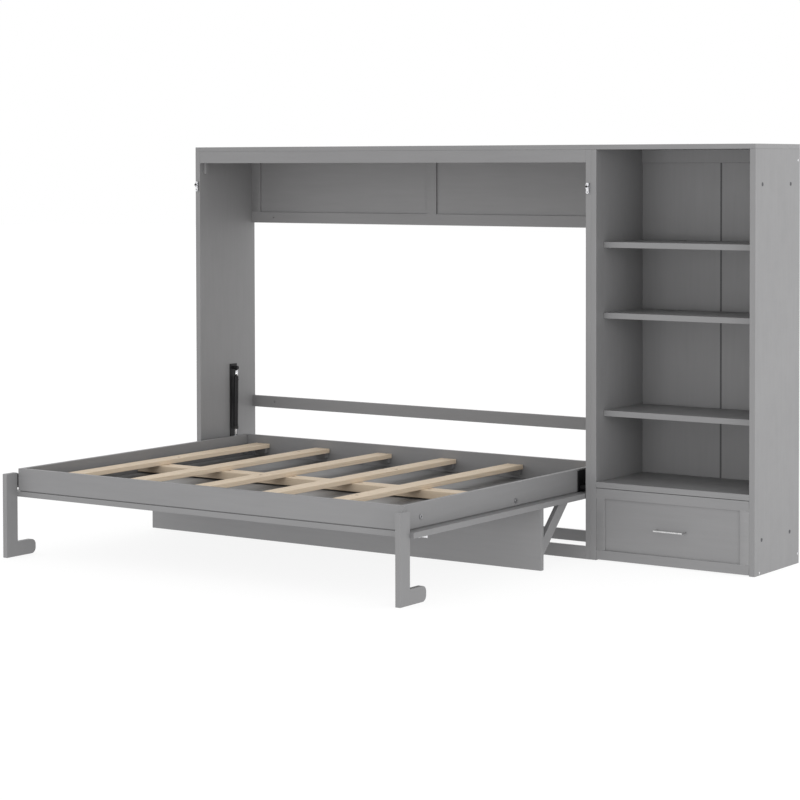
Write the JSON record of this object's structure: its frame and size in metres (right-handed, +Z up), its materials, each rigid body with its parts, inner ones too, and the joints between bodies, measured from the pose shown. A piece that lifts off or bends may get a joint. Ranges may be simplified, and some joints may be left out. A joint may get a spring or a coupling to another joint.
{
  "type": "wall bed",
  "caption": "Side-opening wall bed in grey board with a shelf tower and drawer, gas springs, hook legs and a shelf board under the slatted frame.",
  "frame": {"origin": "centre of the whole object's footprint with the bed open, on the floor", "axes": "+Z up, +X to the right along the cabinet, +Y from the room towards the wall"},
  "size_m": [2.862, 1.71, 1.715],
  "materials": {
    "grey_board": "satin grey lacquer on smooth board",
    "pine": "bare planed pine",
    "black_steel": "semi-gloss black coating",
    "bright_metal": "polished plating",
    "zinc_steel": "zinc-plated steel",
    "dark_cap": "matt moulded plastic"
  },
  "bodies": {
    "cabinet": {"adjustable_shelf_1": "grey_board", "adjustable_shelf_2": "grey_board", "adjustable_shelf_3": "grey_board", "bay_right_side_panel": "grey_board", "front_floor_rail": "grey_board", "front_header_rail": "grey_board", "latch_plates": "bright_metal", "left_side_panel": "grey_board", "mechanism_plates": "black_steel", "middle_rear_rail": "grey_board", "rear_floor_rail": "grey_board", "rear_header_frame": "grey_board", "rear_header_panels": "grey_board", "runner_outer_members": "zinc_steel", "shelf_pins": "zinc_steel", "side_bolt_caps": "dark_cap", "stop_blocks": "grey_board", "top_board": "grey_board", "tower_back_boards": "grey_board", "tower_back_rails": "grey_board", "tower_back_strip": "dark_cap", "tower_bottom_board": "grey_board", "tower_fixed_shelf": "grey_board", "tower_left_side_panel": "grey_board", "tower_right_side_panel": "grey_board"},
    "bed": {"bed_face_panel": "grey_board", "bed_front_rail": "grey_board", "bed_rear_rail": "grey_board", "bed_left_rail": "grey_board", "bed_right_rail": "grey_board", "bed_centre_beam": "pine", "slat_cleats": "grey_board", "slat_1": "pine", "slat_2": "pine", "slat_3": "pine", "slat_4": "pine", "slat_5": "pine", "slat_6": "pine", "bed_corner_brackets": "zinc_steel", "bed_bolts": "zinc_steel", "left_leg": "grey_board", "right_leg": "grey_board", "leg_brackets": "black_steel", "folding_shelf_board": "grey_board", "folding_shelf_braces": "grey_board", "bed_pivot_brackets": "black_steel", "latch_strikes": "bright_metal"},
    "strut_cylinder_left_body": {"strut_cylinder_left": "black_steel"},
    "strut_cylinder_right_body": {"strut_cylinder_right": "black_steel"},
    "strut_rod_left_body": {"strut_rod_left": "bright_metal"},
    "strut_rod_right_body": {"strut_rod_right": "bright_metal"},
    "latch_left": {"latch_lever_left": "bright_metal"},
    "latch_right": {"latch_lever_right": "bright_metal"},
    "drawer": {"drawer_front_frame": "grey_board", "drawer_front_panel": "grey_board", "drawer_box_sides": "grey_board", "drawer_bottom": "grey_board", "drawer_handle": "bright_metal", "runner_inner_members": "zinc_steel"},
    "runner_middle": {"runner_middle_members": "zinc_steel"}
  },
  "joints": [
    {"name": "bed_fold", "type": "hinge", "parent": "cabinet", "child": "bed", "pos_m": [-0.375, 0.492, 0.29], "axis": [-1, 0, 0], "range_deg": [0, 90]},
    {"name": "strut_tilt_left", "type": "hinge", "parent": "cabinet", "child": "strut_cylinder_left_body", "pos_m": [-1.384, 0.685, 0.682], "axis": [-1, 0, 0], "range_deg": [0, 17.4]},
    {"name": "strut_slide_left", "type": "slide", "parent": "strut_cylinder_left_body", "child": "strut_rod_left_body", "axis": [0, -0.0204, -0.9998], "range_m": [0, 0.217]},
    {"name": "strut_tilt_right", "type": "hinge", "parent": "cabinet", "child": "strut_cylinder_right_body", "pos_m": [0.634, 0.685, 0.682], "axis": [-1, 0, 0], "range_deg": [0, 17.4]},
    {"name": "strut_slide_right", "type": "slide", "parent": "strut_cylinder_right_body", "child": "strut_rod_right_body", "axis": [0, -0.0204, -0.9998], "range_m": [0, 0.217]},
    {"name": "latch_turn_left", "type": "hinge", "parent": "cabinet", "child": "latch_left", "pos_m": [-1.4185, 0.445, 1.52], "axis": [0, 1, 0], "range_deg": [0, 90]},
    {"name": "latch_turn_right", "type": "hinge", "parent": "cabinet", "child": "latch_right", "pos_m": [0.6685, 0.445, 1.52], "axis": [0, -1, 0], "range_deg": [0, 90]},
    {"name": "drawer_slide", "type": "slide", "parent": "cabinet", "child": "drawer", "axis": [0, -1, 0], "range_m": [0, 0.3]},
    {"name": "runner_middle_slide", "type": "slide", "parent": "cabinet", "child": "runner_middle", "axis": [0, -1, 0], "range_m": [0, 0.15]}
  ],
  "couplings": [
    {"joint": "strut_tilt_left", "follows": "bed_fold", "ratio": 0.1925},
    {"joint": "strut_slide_left", "follows": "bed_fold", "m_per_rad": 0.13773},
    {"joint": "strut_tilt_right", "follows": "bed_fold", "ratio": 0.1925},
    {"joint": "strut_slide_right", "follows": "bed_fold", "m_per_rad": 0.13773},
    {"joint": "runner_middle_slide", "follows": "drawer_slide", "ratio": 0.5}
  ]
}
